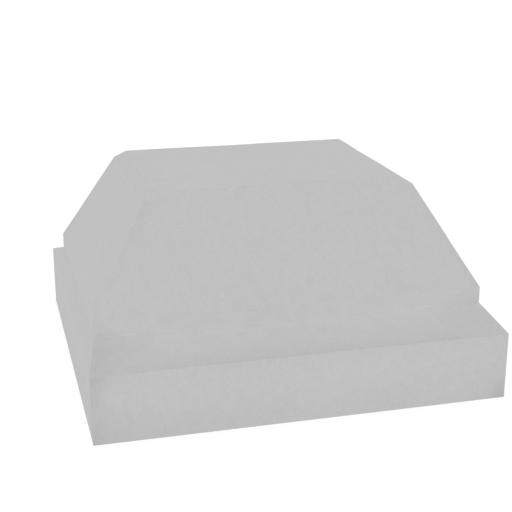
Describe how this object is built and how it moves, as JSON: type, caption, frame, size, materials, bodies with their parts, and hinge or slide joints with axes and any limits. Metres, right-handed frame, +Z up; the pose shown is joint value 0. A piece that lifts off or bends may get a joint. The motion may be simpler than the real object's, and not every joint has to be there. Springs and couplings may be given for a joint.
{
  "type": "pedestal base",
  "caption": "Low rectangular pedestal base in light grey cast stone: a plinth with a sloping wash under a battered block, whose flat top seats a statue, urn or shaft.",
  "frame": {"origin": "centre of the plinth's underside, on the ground it stands on", "axes": "+Z up through the flat top; +X along the wider front, +Y from the front to the back"},
  "size_m": [0.6, 0.581, 0.304],
  "materials": {
    "cast_stone": "matte"
  },
  "bodies": {
    "root": {"plinth": "cast_stone", "battered_block": "cast_stone"}
  },
  "joints": []
}
